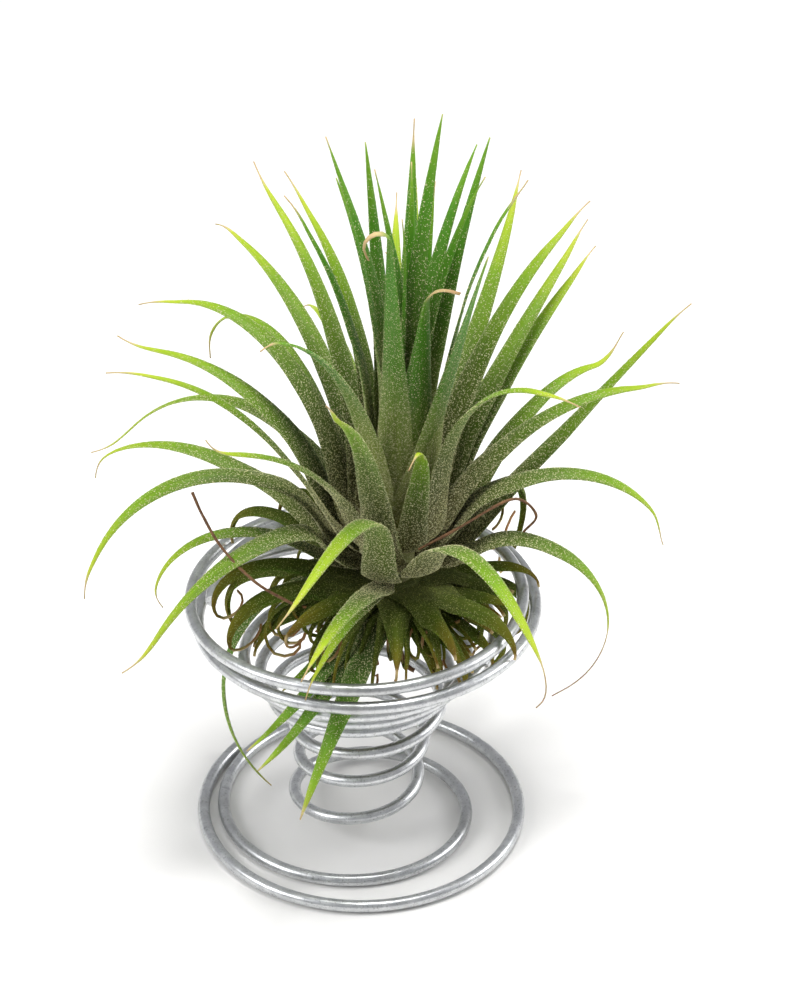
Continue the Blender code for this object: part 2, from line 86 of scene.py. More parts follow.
def smooth_through(knots, at):
    """Value of a smooth curve through (place, value) knots that never swings past them."""
    x, y = np.array(knots).T
    step = np.diff(x)
    rise = np.diff(y) / step
    slope = np.zeros(len(x))
    slope[0], slope[-1] = rise[0], rise[-1]
    for i in range(1, len(x) - 1):
        if rise[i - 1] * rise[i] > 0:
            a = 2 * step[i] + step[i - 1]
            b = step[i] + 2 * step[i - 1]
            slope[i] = (a + b) / (a / rise[i - 1] + b / rise[i])
    i = int(np.clip(np.searchsorted(x, at, side="right") - 1, 0, len(x) - 2))
    t = (at - x[i]) / step[i]
    return (
        y[i] * (1 - ease(t))
        + y[i + 1] * ease(t)
        + step[i] * slope[i] * t * (1 - t) ** 2
        - step[i] * slope[i + 1] * t * t * (1 - t)
    )


STEPS_PER_TURN = 96
first, last = WIRE_RUN[0][0], WIRE_RUN[-1][0]
wire_path = []
for turns in np.linspace(first, last, round((last - first) * STEPS_PER_TURN)):
    radius, height = (smooth_through([(k[0], k[i]) for k in WIRE_RUN], turns) * MM for i in (1, 2))
    angle = math.pi + 2 * math.pi * turns
    wire_path.append((radius * math.cos(angle), radius * math.sin(angle), height))
wire_path = np.array(wire_path)
print("points along the wire:", len(wire_path))

# %% [markdown]
# ## Where the stand's middle is
# The table above counts from the stand's own middle, but the model's origin is the middle of the whole
# object's box. The stand's box in the model gives the step from one to the other, and everything that
# follows is moved by it.

# %% Step from the stand's middle to the model's origin
wire_low, wire_high = (np.array(corner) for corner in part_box("wire_stand"))
path_middle = (wire_path.min(axis=0) + wire_path.max(axis=0)) / 2
STAND = (wire_low + wire_high) / 2 - path_middle
STAND[2] = 0
print("stand's middle in mm:", [round(v / MM, 2) for v in STAND])

# %% [markdown]
# ## Camera
# The photograph looks down on the plant from the front at about a third of a right angle, through a
# long lens. The distance and the lens are chosen together, so that the rings of the foot and the rim
# open as much as they do there.

# %% Camera
CAMERA_ELEVATION = math.radians(33.63)
CAMERA_DISTANCE = 600 * MM
CAMERA_AIM = Vector(STAND) + Vector((5.04, 0, 64.42)) * MM


def new_object(name, data):
    """An object of the scene that shows this data."""
    made = bpy.data.objects.new(name, data)
    bpy.context.scene.collection.objects.link(made)
    return made


camera = new_object("camera", bpy.data.cameras.new("camera"))
camera.data.lens = 132.1
camera.data.clip_start = 20 * MM
back = Vector((0, -math.cos(CAMERA_ELEVATION), math.sin(CAMERA_ELEVATION)))
camera.location = CAMERA_AIM + back * CAMERA_DISTANCE
camera.rotation_euler = back.to_track_quat("Z", "Y").to_euler()
bpy.context.scene.camera = camera
print("camera at", [round(v, 3) for v in camera.location])

# %% [markdown]
# ## Small tools for node trees
# Shader and geometry trees are built the same way: a node is added, and each of its inputs gets a fixed
# value or the output of an earlier node. These helpers keep each later tree to about one line a node.

# %% Helpers for trees


def feed(tree, socket, value):
    """Gives an input a fixed value, or wires an output to it. A node stands for its first output."""
    if isinstance(value, bpy.types.Node):
        value = value.outputs[0]
    if isinstance(value, bpy.types.NodeSocket):
        tree.links.new(socket, value)
    else:
        socket.default_value = value


def feed_named(tree, made, **values):
    """Feeds a node's inputs by their names, with _ in place of each space."""
    for label, value in values.items():
        feed(tree, made.inputs[label.replace("_", " ")], value)


def node(tree, kind, settings=None, **values):
    """A new node of a kind, with its own settings and the values of its inputs."""
    made = tree.nodes.new(kind)
    for label, value in (settings or {}).items():
        setattr(made, label, value)
    feed_named(tree, made, **values)
    return made


def socket_of(sockets, identifier):
    """The socket with this identifier, where several have one name."""
    return next(s for s in sockets if s.identifier == identifier)


def maths(tree, operation, *values, clamp=False):
    """One step of arithmetic. Each value is a number or another node's output."""
    made = node(tree, "ShaderNodeMath", {"operation": operation, "use_clamp": clamp})
    for socket, value in zip(made.inputs, values):
        feed(tree, socket, value)
    return made


def tuned(tree, value, gain, shift=0.0, clamp=False):
    """A value times a gain plus a shift, kept from 0 to 1 where it is clamped."""
    return maths(tree, "MULTIPLY_ADD", value, gain, shift, clamp=clamp)


def colour(red, green, blue):
    """A colour from its 0 to 255 screen values, as the shader wants it."""
    screen = np.array((red, green, blue)) / 255
    linear = np.where(screen <= 0.04045, screen / 12.92, ((screen + 0.055) / 1.055) ** 2.4)
    return (*(float(v) for v in linear), 1.0)


def mixed(tree, share, first, second):
    """A colour between two, where the share is 0 for the first and 1 for the second."""
    made = node(tree, "ShaderNodeMix", {"data_type": "RGBA"})
    for identifier, value in (("Factor_Float", share), ("A_Color", first), ("B_Color", second)):
        feed(tree, socket_of(made.inputs, identifier), value)
    return socket_of(made.outputs, "Result_Color")


def ramp(tree, share, stops):
    """A run of colours over 0 to 1. Each stop is a place and a colour's three screen values."""
    made = node(tree, "ShaderNodeValToRGB", Fac=share)
    elements = made.color_ramp.elements
    while len(elements) < len(stops):
        elements.new(0.5)
    for element, (place, *values) in zip(elements, stops):
        element.position = place
        element.color = colour(*values)
    return made


def own_place(tree):
    """Where a point lies on its piece, in metres."""
    return tree.nodes.new("ShaderNodeTexCoord").outputs["Object"]


def noise(tree, place, scale, detail=3, roughness=0.5):
    """Soft clouds of values round a half, as many to the metre as the scale says."""
    return node(
        tree, "ShaderNodeTexNoise", Vector=place, Scale=scale, Detail=detail, Roughness=roughness
    )


def stored(tree, name):
    """A value that the mesh stores at each corner."""
    return node(tree, "ShaderNodeAttribute", {"attribute_name": name}).outputs["Fac"]


def bumped(tree, shader, height, strength, distance):
    """Relief that only the light feels."""
    bump = node(tree, "ShaderNodeBump", Strength=strength, Distance=distance, Height=height)
    feed_named(tree, shader, Normal=bump)


def new_material(name, **values):
    """A material with its tree and its shader, whose inputs get these values."""
    made = bpy.data.materials.new(name)
    made.use_nodes = True
    shader = made.node_tree.nodes["Principled BSDF"]
    feed_named(made.node_tree, shader, **values)
    return made, made.node_tree, shader


print("helpers ready")

# %% [markdown]
# ## Floor and light
# The plant stands on a white table in a bright, soft light that comes from everywhere, with a little
# more from above and behind. The floor is one large sheet, and a broad lamp each side of the plant
# keeps the shadows faint.

# %% Floor and lamps
LAMPS_FACE = Vector((0, 0, 0.06))
# Name, place and size in metres, power in watts
LAMPS = (
    ("lamp_above", (0.05, -0.01, 0.72), 0.26, 4.4),
    ("lamp_left", (-0.55, -0.25, 0.45), 0.4, 2.4),
    ("lamp_right", (0.60, 0.10, 0.35), 0.4, 1.8),
)

bpy.ops.mesh.primitive_plane_add(size=6, location=(0, 0, -0.2 * MM))
floor = bpy.context.object
floor.name = "floor"
white_table = new_material("white table", Base_Color=colour(244, 243, 241), Roughness=0.6)[0]
floor.data.materials.append(white_table)

world = bpy.data.worlds.new("studio")
world.use_nodes = True
sky = world.node_tree
feed_named(sky, sky.nodes["Background"], Color=colour(250, 251, 255), Strength=0.4)
bpy.context.scene.world = world
for name, place, size, power in LAMPS:
    data = bpy.data.lights.new(name, "AREA")
    data.shape, data.size, data.energy = "DISK", size, power
    lamp = new_object(name, data)
    lamp.location = place
    lamp.rotation_euler = (Vector(place) - LAMPS_FACE).to_track_quat("Z", "Y").to_euler()
bpy.context.scene.view_settings.view_transform = "Standard"
print("lamps:", len(LAMPS))

# %% [markdown]
# ## Galvanised wire
# The wire was dipped in zinc, which sets in soft grey patches with tiny pits and dull streaks. Three
# sizes of noise make them. They change how bright and how rough the metal is, and a faint bump breaks up
# its highlights.

# %% Finish of the wire
zinc, tree, shader = new_material("galvanised zinc", Roughness=0.35, Metallic=0.85)
place = own_place(tree)
patches = noise(tree, place, scale=620)
pits = noise(tree, place, scale=2600, detail=2, roughness=0.6)
streaks = noise(tree, place, scale=90)
patched = tuned(tree, patches, gain=2.0, shift=-0.5, clamp=True)
pitted = tuned(tree, pits, gain=-7.0, shift=3.05, clamp=True)
dulled = tuned(tree, streaks, gain=4.0, shift=-2.1, clamp=True)
metal = mixed(tree, patched, colour(188, 190, 193), colour(220, 222, 222))
metal = mixed(tree, tuned(tree, pitted, gain=0.5), metal, colour(104, 104, 100))
metal = mixed(tree, tuned(tree, dulled, gain=0.5), metal, colour(140, 140, 136))
uneven = tuned(tree, patches, gain=0.14, shift=0.24)
feed_named(tree, shader, Base_Color=metal, Roughness=tuned(tree, pitted, gain=0.2, shift=uneven))
relief = tuned(tree, pitted, gain=-0.6, shift=patches)
bumped(tree, shader, relief, strength=0.2, distance=0.03 * MM)
print("nodes in the zinc finish:", len(tree.nodes))

# %% [markdown]
# ## The wire itself
# A round section follows the run. That is what Curve to Mesh does, so a geometry tree makes the wire: it
# sweeps a circle, moves the skin in and out by a hair for the uneven zinc, and presses what would dip
# below the table flat. Its sizes are named inputs of the tree.

# %% A tree that sweeps a wire along a line


def geometry_tree(name, numbers):
    """A tree that takes a geometry, some named numbers and a material, and gives a geometry."""
    made = bpy.data.node_groups.new(name, "GeometryNodeTree")

    def add(label, kind, in_out="INPUT"):
        return made.interface.new_socket(label, in_out=in_out, socket_type="NodeSocket" + kind)

    add("Geometry", "Geometry")
    for label, start in numbers.items():
        add(label, "Int" if isinstance(start, int) else "Float").default_value = start
    add("Material", "Material")
    add("Geometry", "Geometry", "OUTPUT")
    return made, made.nodes.new("NodeGroupInput").outputs


def end_tree(tree, geometry, given, **chosen):
    """Makes instances real, puts the material on and hands the geometry out."""
    whole = node(tree, "GeometryNodeRealizeInstances", Geometry=geometry)
    coated = node(tree, "GeometryNodeSetMaterial", Geometry=whole, Material=given["Material"], **chosen)
    feed_named(tree, tree.nodes.new("NodeGroupOutput"), Geometry=coated)


def grown(name, start_mesh, tree, **values):
    """A plain mesh from a tree that is run on a start mesh, with inputs set by their identifiers."""
    carrier = new_object(name + "_start", start_mesh)
    modifier = carrier.modifiers.new("grow", "NODES")
    modifier.node_group = tree
    sockets = {s.name: s.identifier for s in tree.interface.items_tree if s.in_out == "INPUT"}
    for label, value in values.items():
        modifier[sockets[label.replace("_", " ")]] = value
    bpy.context.view_layer.update()
    ready = carrier.evaluated_get(bpy.context.evaluated_depsgraph_get())
    made = bpy.data.meshes.new_from_object(ready)
    carrier.modifiers.remove(modifier)
    bpy.data.objects.remove(carrier)
    made.name = name
    return made


sweep, given = geometry_tree(
    "wire along its run", {"Radius": 0.001, "Sides": 16, "Ripple": 0.00002, "Table": 0.0}
)
line = node(sweep, "GeometryNodeMeshToCurve", Mesh=given["Geometry"])
circle = node(
    sweep, "GeometryNodeCurvePrimitiveCircle", Radius=given["Radius"], Resolution=given["Sides"]
)
skin = node(sweep, "GeometryNodeCurveToMesh", Curve=line, Profile_Curve=circle, Fill_Caps=True)
where = node(sweep, "GeometryNodeInputPosition")
facing = node(sweep, "GeometryNodeInputNormal")
rough = noise(sweep, where, scale=260, detail=2)
swell = maths(sweep, "MULTIPLY", maths(sweep, "SUBTRACT", rough, 0.5), given["Ripple"])
push = node(sweep, "ShaderNodeVectorMath", {"operation": "SCALE"}, Vector=facing, Scale=swell)
moved = node(sweep, "ShaderNodeVectorMath", Vector=where)
feed(sweep, moved.inputs[1], push)
parts = node(sweep, "ShaderNodeSeparateXYZ", Vector=moved).outputs
above = maths(sweep, "MAXIMUM", parts["Z"], given["Table"])
pressed = node(sweep, "ShaderNodeCombineXYZ", X=parts["X"], Y=parts["Y"], Z=above)
shift = node(sweep, "GeometryNodeSetPosition", Geometry=skin, Position=pressed)
end_tree(sweep, node(sweep, "GeometryNodeSetShadeSmooth", Geometry=shift), given)
print("nodes in the wire's tree:", len(sweep.nodes))

# %% Make the wire and put it in place of its solid
WIRE_SIDES = 18
ZINC_RIPPLE = 0.05 * MM


def faces_out(mesh):
    """The mesh with its faces turned to the outside, so that the volume in them is positive."""
    mesh.calc_loop_triangles()
    points = np.array([v.co for v in mesh.vertices])
    a, b, c = points[np.array([t.vertices for t in mesh.loop_triangles])].transpose(1, 0, 2)
    if (a * np.cross(b, c)).sum() < 0:
        mesh.flip_normals()
    return mesh


def swept(name, points, radius, sides, ripple, finish):
    """A round wire, root or thread along a line of points."""
    line = bpy.data.meshes.new(name + "_line")
    line.from_pydata([tuple(p) for p in points], [(i, i + 1) for i in range(len(points) - 1)], [])
    return faces_out(grown(
        name, line, sweep, Radius=radius, Sides=sides, Ripple=ripple, Table=0.0, Material=finish
    ))


def show(name, mesh, node):
    """A finished piece that stands for a node of the model and rides with it."""
    made = new_object(name, faces_out(mesh))
    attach(made, "root")
    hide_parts(node)


wire_mesh = swept("spiral_wire", wire_path + STAND, WIRE_RADIUS, WIRE_SIDES, ZINC_RIPPLE, zinc)
show("spiral_wire", wire_mesh, "wire_stand")
wire_length = np.linalg.norm(np.diff(wire_path, axis=0), axis=1).sum()
print("faces in the wire:", len(wire_mesh.polygons), "and its length in mm:", round(wire_length / MM))

# %% [markdown]
# ## How a leaf grows
# Every leaf of this plant follows one rule. It leaves the stem almost level, turns up at the end of its
# heel where its sheath wraps the stem, and then bends over by a lean that grows towards the tip. The
# rule needs only a handful of numbers for each leaf, so it is written once and used for them all.

# %% The line along a leaf's middle
PATH_STEPS = 240
DRY_TIP = 0.88
# How far into the dry tip its thread starts to turn, and for how many lengths of the tip it goes on
TURN_FROM, TURN_FOR = 0.5, 3
PLANT_FOOT = Vector((5.5, 0.0, 55.0)) * MM
PLANT_TILT = math.radians(4)
STEM_RADIUS = 3.2 * MM
GAP = 0.3 * MM
BLADE_THICKNESS = 0.62 * MM


def leaf_midrib(start, heel, heel_lean, azimuth, swing, base_lean, tip_lean, length, bend, tip_turn,
                thread=0.0, thread_turn=0.0):
    """Points along a leaf's middle, with its direction, its share of the length and the way it heads.

    A thread is what the dry tip adds past the leaf's own length. There the share goes on past 1."""
    run = np.linspace(0, length + thread, PATH_STEPS)
    along = run / length
    heeled = ease(np.clip(run / heel, 0, 1))
    past_heel = np.clip((run - heel) / (length - heel), 0, 1)
    dried = (along - DRY_TIP) / (1 - DRY_TIP)
    lean = base_lean + (tip_lean - base_lean) * past_heel**bend
    lean = heel_lean * (1 - heeled) + lean * heeled + tip_turn * np.clip(dried, 0, 1)
    lean = np.radians(lean + thread_turn * np.clip(dried - TURN_FROM, 0, TURN_FOR))
    turned = np.radians(azimuth + swing * np.minimum(along, 1) ** 2)
    ahead = np.stack(
        (np.sin(lean) * np.cos(turned), np.sin(lean) * np.sin(turned), np.cos(lean)), axis=1
    )
    points = np.zeros((PATH_STEPS, 3))
    points[1:] = np.cumsum((ahead[1:] + ahead[:-1]) / 2, axis=0) * (run[1] - run[0])
    outward = np.array((math.cos(math.radians(azimuth)), math.sin(math.radians(azimuth)), 0))
    points += outward * start[0] + np.array((0, 0, start[1]))
    return points, ahead, along, turned


print("one leaf's line has", PATH_STEPS, "points")

# %% [markdown]
# ## The blade
# A blade is a channel: wide and curved round the stem at its sheath, open like a gutter further out, and
# drawn into a dry thread at the tip. Its skin is lofted through sections across the midrib. Each
# corner of the skin also stores how far along, how far across and how old the leaf is there, so that
# the finish can follow the leaf and not the space round it.

# %% Loft a blade round its middle line
ACROSS = 9
SPACING_POWER = 1.1
SHEATH_SHARE = 0.35
SHEATH_FLARE = 0.4
TAPER_POWER = 0.75
CHANNEL_SHARE = 0.3
CHANNEL_POWER = 1.6
EDGE_WAVES = 14
EDGE_THICKNESS = 0.26 * MM
THREAD_HALF_WIDTH = 0.11 * MM
DRY_FROM = 0.95
lean_matrix = Matrix.Rotation(PLANT_TILT, 3, "Y")


def placed(point):
    """A point of the plant's own frame, in the model's."""
    return lean_matrix @ point + PLANT_FOOT + Vector(STAND)


def tube_faces(rings, around):
    """Faces of a tube with closed ends, whose corners are counted ring after ring."""
    faces = []
    for r in range(rings - 1):
        for i in range(around):
            j = (i + 1) % around
            faces.append((r * around + i, r * around + j, (r + 1) * around + j, (r + 1) * around + i))
    return faces + [tuple(range(around))[::-1], tuple(range((rings - 1) * around, rings * around))]


def blade(path, tier_radius, width, sheath_angle, thickness=BLADE_THICKNESS, steps=64, roll=0.0,
          wave=0.0, seed=0, tip=THREAD_HALF_WIDTH):
    """Corners, faces and stored values of one closed blade, placed in the model.

    It is a sheath while it hugs the stem, and free, from 0 to 1, as it leaves its tier's radius."""
    points, ahead, along, heading = path
    wave_place = np.random.default_rng(seed).uniform(0, 6.28)
    share_across = [float(t) for t in np.linspace(1, -1, ACROSS)]
    corners, values = [], []
    radius = 0
    for step in range(steps + 1):
        at = round((step / steps) ** SPACING_POWER * (len(points) - 1))
        point, forward, share = Vector(points[at]), Vector(ahead[at]), float(along[at])
        outward = Vector((math.cos(heading[at]), math.sin(heading[at]), 0))
        radius = max(radius, point.dot(outward))
        side = Vector((-outward.y, outward.x, 0))
        side = (side - forward * side.dot(forward)).normalized()
        upper = side.cross(forward)
        flare = 1 + SHEATH_FLARE * max(1 - share / SHEATH_SHARE, 0) ** 2
        tapered = width / 2 * max(1 - share, 0) ** TAPER_POWER * flare
        thread = tip * (1.6 - 0.6 * min(share, 1.3))
        half = max(min(tapered, radius * sheath_angle), thread)
        inward = half * half / (2 * radius)
        free = min(max(radius / tier_radius * 2 - 2.6, 0), 1)
        channel = max(CHANNEL_SHARE * half * free - inward * max(forward.z, 0), 0)
        wrap = inward * min(max(forward.z * 6, 0), 1)
        middle = min(max(thickness * (1.25 - share), EDGE_THICKNESS), 1.6 * half)
        edge = min(EDGE_THICKNESS, middle)
        ripple = wave * half * math.sin(share * EDGE_WAVES + wave_place) * free
        over, under = [], []
        for t in share_across:
            reach = half * t * (1 - 0.35 * (roll * free * abs(t)))
            rise = channel * abs(t) ** CHANNEL_POWER + roll * free * half * 0.9 * t * t
            place = point + side * reach + upper * (rise + ripple * t) - outward * wrap * t * t
            thick = (edge + (middle - edge) * (1 - t * t)) * (1 - 0.75 * t**12) / 2
            over.append(placed(place + upper * thick))
            under.append(placed(place - upper * thick))
        corners += over + under[::-1]
        values += [(share, t) for t in share_across + share_across[::-1]]
    return corners, tube_faces(steps + 1, 2 * ACROSS), values


def leaf_mesh(name, blades, tones, finish, dry_from=None):
    """One mesh from several blades. It stores for each its tone, from 0, young, to 1, old, and the share
    of its length past which it is dry."""
    corners, faces, values = [], [], []
    dry_from = dry_from or [DRY_FROM] * len(blades)
    for (own, own_faces, own_values), tone, dry in zip(blades, tones, dry_from):
        first = len(corners)
        corners += own
        faces += [tuple(first + i for i in face) for face in own_faces]
        values += [(*value, tone, dry) for value in own_values]
    mesh = bpy.data.meshes.new(name)
    mesh.from_pydata(corners, [], faces)
    columns = np.array(values, np.float32).T.copy()
    for label, column in zip(("along", "across", "tone", "dry"), columns):
        mesh.attributes.new(label, "FLOAT", "POINT").data.foreach_set("value", column)
    mesh.materials.append(finish)
    mesh.shade_smooth()
    return faces_out(mesh)


print("corners in one section:", 2 * ACROSS)

# %% [markdown]
# ## Silver scales, as a shared effect
# The plant drinks through scales: flat shields a fraction of a millimetre wide, thick as fur at the base
# of a leaf and along its edges, and thin towards the tip. Most are made as real shapes later on. The
# finest are painted by this group, which marks round spots on a fine cell pattern. It takes how
# densely they stand and puts out where they are, how high, and a soft haze between them.

# %% Shader group for the finest scales
scale_group = tree = bpy.data.node_groups.new("fine silver scales", "ShaderNodeTree")
for in_out, labels in (("INPUT", ("Cover", "Cells per metre")), ("OUTPUT", ("Spots", "Height", "Haze"))):
    for label in labels:
        tree.interface.new_socket(label, in_out=in_out, socket_type="NodeSocketFloat")
given = tree.nodes.new("NodeGroupInput").outputs
result = tree.nodes.new("NodeGroupOutput")
place = own_place(tree)
cells = node(tree, "ShaderNodeTexVoronoi", Vector=place, Scale=given["Cells per metre"]).outputs
spot = tuned(tree, cells["Distance"], gain=-6.0, shift=2.5, clamp=True)
cell_draw = node(tree, "ShaderNodeSeparateColor", Color=cells["Color"])
chosen = maths(tree, "LESS_THAN", cell_draw, given["Cover"])
spots = maths(tree, "MULTIPLY", spot, chosen)
cloud = noise(tree, place, scale=900, roughness=0.6)
height = tuned(tree, cloud, gain=0.4, shift=spots)
haze = tuned(tree, cloud, gain=2.0, shift=-0.35, clamp=True)
haze = maths(tree, "MULTIPLY", haze, given["Cover"])
feed_named(tree, result, Spots=spots, Height=height, Haze=haze)
print("nodes in the scale group:", len(tree.nodes))

# %% [markdown]
# ## Leaf finishes
# A young leaf is a deep green that turns to yellow green only near its tip. An old one turns sooner and
# is duller. The greens run along the stored share of the leaf's length, with fine stripes along it for
# the veins. Past a stored place the tip is dry, straw at first and then brown. The silver scales lie
# over it all.

# %% Build a leaf finish
VEINS_ACROSS, VEINS_ALONG, TONE_SHIFT = 9.0, 2.2, 37.0
EDGE_POWER = 6.0
COVER_POWER = 1.2
STRAW, DRY_BROWN = colour(208, 186, 136), colour(150, 108, 72)


def leaf_finish(name, greens, silver, cover_at, roughness=0.5, late=1.0, gloss=0.22):
    """A leaf's material: its run of greens and how late they turn, the tint of its scales, and how
    densely these stand at the base, everywhere and along the edge."""
    made, tree, shader = new_material(
        name, Roughness=roughness, Specular_IOR_Level=gloss, Subsurface_Weight=0.12,
        Subsurface_Radius=(0.4, 1.0, 0.15), Subsurface_Scale=0.8 * MM,
    )
    along, across, tone, dry_from = (stored(tree, label) for label in ("along", "across", "tone", "dry"))
    patchy = tuned(tree, noise(tree, own_place(tree), scale=160), gain=0.16, shift=-0.08)
    turning = tuned(tree, tone, gain=-0.9 * late, shift=1.0 + 0.75 * late)
    turned = maths(tree, "POWER", maths(tree, "MINIMUM", along, 1.0), turning)
    green = ramp(tree, maths(tree, "ADD", turned, patchy, clamp=True), greens)
    vein_place = node(
        tree, "ShaderNodeCombineXYZ", X=tuned(tree, across, VEINS_ACROSS),
        Y=tuned(tree, along, VEINS_ALONG), Z=tuned(tree, tone, TONE_SHIFT),
    )
    veins = noise(tree, vein_place, scale=1.0, detail=2)
    lightness = tuned(tree, veins, gain=1.0, shift=0.5)
    veined = node(tree, "ShaderNodeVectorMath", {"operation": "SCALE"}, Vector=green, Scale=lightness)

    past_dry = tuned(tree, patchy, gain=0.4, shift=maths(tree, "SUBTRACT", along, dry_from))
    tip = mixed(tree, tuned(tree, past_dry, gain=6.0, clamp=True), STRAW, DRY_BROWN)
    shade = mixed(tree, tuned(tree, past_dry, gain=26.0, clamp=True), veined, tip)

    edge = maths(tree, "POWER", maths(tree, "ABSOLUTE", across), EDGE_POWER)
    base = maths(tree, "POWER", maths(tree, "SUBTRACT", 1.0, along, clamp=True), COVER_POWER)
    cover = tuned(tree, base, gain=cover_at[0], shift=cover_at[1])
    cover = tuned(tree, edge, gain=cover_at[2], shift=cover, clamp=True)
    scales = node(
        tree, "ShaderNodeGroup", {"node_tree": scale_group}, Cover=cover, Cells_per_metre=5200
    ).outputs
    haze_tint = (*(0.4 * v for v in silver[:3]), 1.0)
    shade = mixed(tree, tuned(tree, scales["Haze"], gain=0.4), shade, haze_tint)
    shade = mixed(tree, tuned(tree, scales["Spots"], gain=0.7), shade, silver)
    uneven = tuned(tree, scales["Haze"], gain=0.3, shift=roughness)
    feed_named(tree, shader, Base_Color=shade, Roughness=uneven)
    relief = tuned(tree, veins, gain=0.8, shift=scales["Height"])
    bumped(tree, shader, relief, strength=0.6, distance=0.08 * MM)
    return made


SILVER = colour(220, 215, 168)
spreading_finish = leaf_finish(
    "spreading leaf green",
    (
        (0.0, 82, 77, 34), (0.14, 60, 70, 16), (0.40, 72, 102, 8), (0.66, 108, 146, 14),
        (0.86, 152, 176, 28), (1.0, 186, 190, 60),
    ),
    SILVER, (0.54, 0.08, 0.5),
)
crown_finish = leaf_finish(
    "crown leaf green",
    (
        (0.0, 144, 150, 88), (0.3, 114, 132, 54), (0.52, 64, 110, 10), (0.8, 64, 124, 4),
        (1.0, 116, 158, 36),
    ),
    SILVER, (0.72, 0.06, 0.45), late=0.3,
)
print("leaf finishes:", spreading_finish.name, "and", crown_finish.name)

# %% [markdown]
# ## Scales as shapes
# What makes the leaves look frosted is real relief: each scale stands a little proud and catches the
# light, and along an edge they break up the outline. Points are scattered over the blade by a stored
# density, and a low three-sided shield is set on each. One tree does this for every leaf, and its seed
# is fixed, so each run gives the same plant.

# %% Finish of the scales that stand proud


def shield_finish(name, dark, light, roughness, gloss):
    """A dry, dull finish with a painted glint: noise lightens its colour in patches, between two tints.
    """
    made, tree, shader = new_material(name, Roughness=roughness, Specular_IOR_Level=gloss)
    # Painted glint: a noise pattern mixes the scales' colour from the dark tint to the light one, so
    # some scales look lit.
    painted_glint = noise(tree, own_place(tree), scale=1500, detail=2)
    feed_named(tree, shader, Base_Color=mixed(tree, painted_glint, colour(*dark), colour(*light)))
    return made


scale_finish = shield_finish("silver scale", (160, 161, 98), (236, 231, 188), roughness=0.6, gloss=0.25)
old_scale_finish = shield_finish("dull scale", (88, 98, 34), (168, 172, 96), roughness=0.7, gloss=0.15)
print("scale finishes:", scale_finish.name, "and", old_scale_finish.name)

# %% A tree that scatters scales over a leaf
scatter, given = geometry_tree(
    "scales on a leaf", {"Per square metre": 1e6, "Width": 0.00014, "Height": 0.00006, "Seed": 1}
)
bare = given["Geometry"]
scaly = node(scatter, "GeometryNodeInputNamedAttribute", Name="scaly")
density = maths(scatter, "MULTIPLY", scaly, given["Per square metre"])
spread = node(
    scatter, "GeometryNodeDistributePointsOnFaces", Mesh=bare, Density=density, Seed=given["Seed"]
).outputs
shield = node(
    scatter, "GeometryNodeMeshCone", Vertices=3, Radius_Top=0, Radius_Bottom=given["Width"],
    Depth=given["Height"],
)
marked = node(
    scatter, "GeometryNodeStoreNamedAttribute", {"data_type": "BOOLEAN", "domain": "FACE"},
    Name="is_scale", Value=True, Geometry=shield,
)
size = node(scatter, "FunctionNodeRandomValue", {"data_type": "FLOAT"})
feed(scatter, socket_of(size.inputs, "Min_001"), 0.55)
feed(scatter, socket_of(size.inputs, "Max_001"), 1.35)
scales = node(
    scatter, "GeometryNodeInstanceOnPoints", Points=spread["Points"], Rotation=spread["Rotation"],
    Instance=marked, Scale=socket_of(size.outputs, "Value_001"),
)
together = node(scatter, "GeometryNodeJoinGeometry", Geometry=scales)
feed_named(scatter, together, Geometry=bare)
is_scale = node(scatter, "GeometryNodeInputNamedAttribute", {"data_type": "BOOLEAN"}, Name="is_scale")
end_tree(scatter, together, given, Selection=is_scale)
print("nodes in the scatter tree:", len(scatter.nodes))

# %% Dress a leaf with scales
SCALE_RADIUS = 0.12 * MM
SCALE_HEIGHT = 0.08 * MM
SCALED_EDGE_POWER = 5
BARE_FROM = 0.97
BARING = 12


def with_scales(mesh, per_mm2, seed, base_power=1.5, everywhere=0.04, at_edge=0.4,
                scale_finish=scale_finish):
    """The mesh with scales over it: thick at the base, thin at the tip, and thick along the edges."""
    along, across = np.empty((2, len(mesh.vertices)), np.float32)
    mesh.attributes["along"].data.foreach_get("value", along)
    mesh.attributes["across"].data.foreach_get("value", across)
    stands = np.clip(1 - along, 0, 1) ** base_power + everywhere
    stands = np.clip(stands + at_edge * np.abs(across) ** SCALED_EDGE_POWER, 0, 1)
    stands = stands * np.clip((BARE_FROM - along) * BARING, 0, 1)
    mesh.attributes.new("scaly", "FLOAT", "POINT").data.foreach_set("value", stands.astype(np.float32))
    return grown(
        mesh.name, mesh, scatter, Per_square_metre=per_mm2 * 1e6, Width=SCALE_RADIUS,
        Height=SCALE_HEIGHT, Seed=seed, Material=scale_finish,
    )


def show_leaves(name, node, slot, blades, tones, finish, dry_from=None, **scales):
    """A piece made of leaves with scales on, in place of its node."""
    mesh = with_scales(leaf_mesh(name, blades, tones, finish, dry_from), **scales)
    show(name, mesh, node)
    print(name, "has", len(mesh.polygons), "faces")


print("a scale of middle size is", 2 * SCALE_RADIUS / MM, "mm across")

# %% [markdown]
# ## The spreading leaves
# The large leaves stand in tiers. The inner ones start high on the stem and stay steep, and each tier
# further out starts lower, stands wider and bends over more. Each row below is one leaf of the real
# plant, and becomes a piece of its own. Only the first four, which stand innermost, go with the crown.

